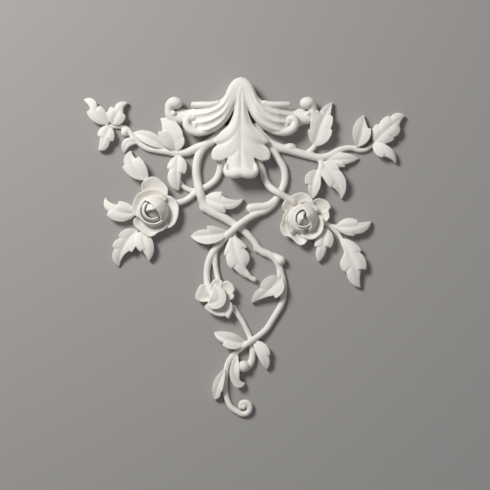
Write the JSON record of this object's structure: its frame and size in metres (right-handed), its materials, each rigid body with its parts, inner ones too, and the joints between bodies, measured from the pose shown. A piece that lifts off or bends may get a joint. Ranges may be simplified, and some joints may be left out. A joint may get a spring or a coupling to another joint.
{
  "type": "wall relief",
  "caption": "One-piece cast plaster wall relief: a fluted acanthus crown with scrolled wings over crossing vines with toothed leaves, full roses and a small open flower, on a flat back.",
  "frame": {"origin": "On the flat back, on the centre line of the crown", "axes": "+Z comes out of the wall, away from the flat back; +Y runs up the relief to the crown's knob; +X is to the right as it is looked at"},
  "size_m": [0.647, 0.682, 0.0472],
  "materials": {
    "plaster": "matte off-white cast plaster"
  },
  "bodies": {
    "root": {"wall_relief": "plaster"}
  },
  "joints": []
}
